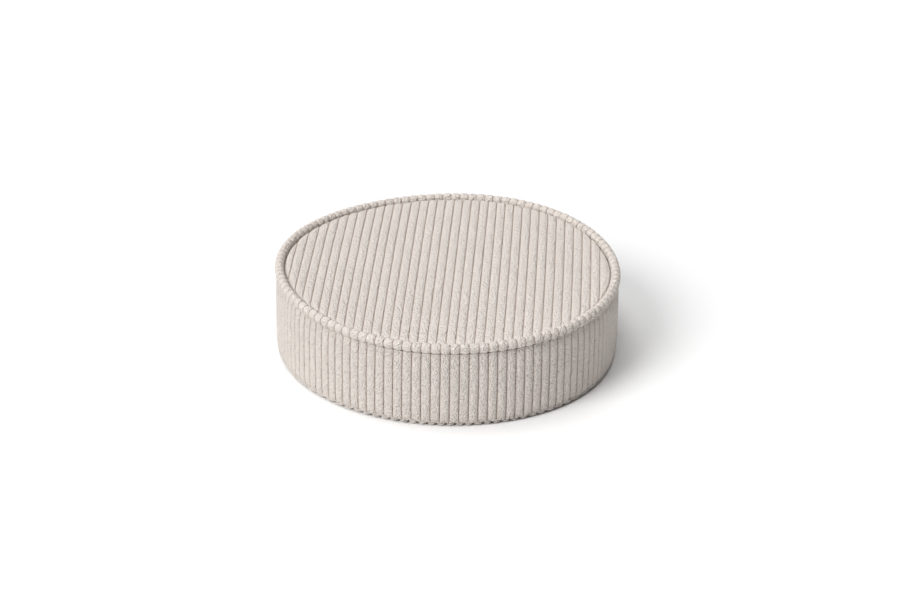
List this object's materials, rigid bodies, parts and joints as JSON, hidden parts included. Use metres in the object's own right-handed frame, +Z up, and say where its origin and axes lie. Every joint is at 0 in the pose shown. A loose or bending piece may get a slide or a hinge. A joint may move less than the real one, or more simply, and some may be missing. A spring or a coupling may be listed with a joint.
{
  "type": "round corduroy pouf",
  "caption": "Low round pouf: a filled drum in wide-wale corduroy, with a slightly crowned top and a fat corded welt round its upper edge.",
  "frame": {"origin": "middle of the footprint, on the surface the pouf stands on", "axes": "+Z up, with the wales of the top running about along Y"},
  "size_m": [0.3984, 0.4, 0.1044],
  "materials": {
    "corduroy": "warm beige wide-wale corduroy with a short dense pile and darker grooves"
  },
  "bodies": {
    "root": {"side_band": "corduroy", "top_panel": "corduroy", "top_piping": "corduroy", "bottom_panel": "corduroy"}
  },
  "joints": []
}
